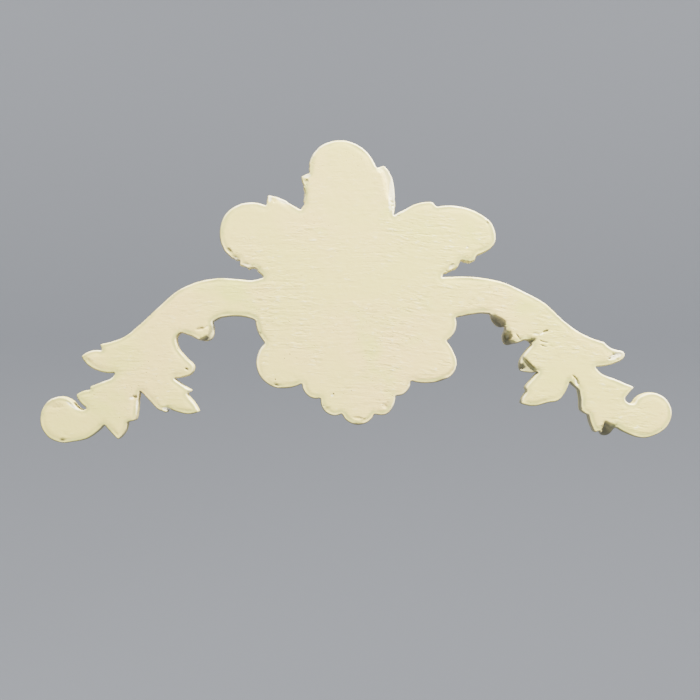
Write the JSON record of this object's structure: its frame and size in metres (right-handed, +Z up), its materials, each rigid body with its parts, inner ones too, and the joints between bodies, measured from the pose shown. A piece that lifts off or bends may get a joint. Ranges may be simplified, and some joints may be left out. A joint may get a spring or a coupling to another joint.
{
  "type": "corner ornament",
  "caption": "Flat-backed carved ornament: a cabochon in a scalloped shell under leafy petals, between two arms that curve down through leaves to a scroll.",
  "frame": {"origin": "on the flat back, behind the cabochon", "axes": "+Y out of the flat back, into the work it is fixed to; +Z up, to the top petal; +X along the arms; the carving faces -Y"},
  "size_m": [0.4005, 0.027, 0.1918],
  "materials": {
    "painted_wood": "cream paint, satin, sanded flat on the back"
  },
  "bodies": {
    "root": {"corner_ornament": "painted_wood"}
  },
  "joints": []
}
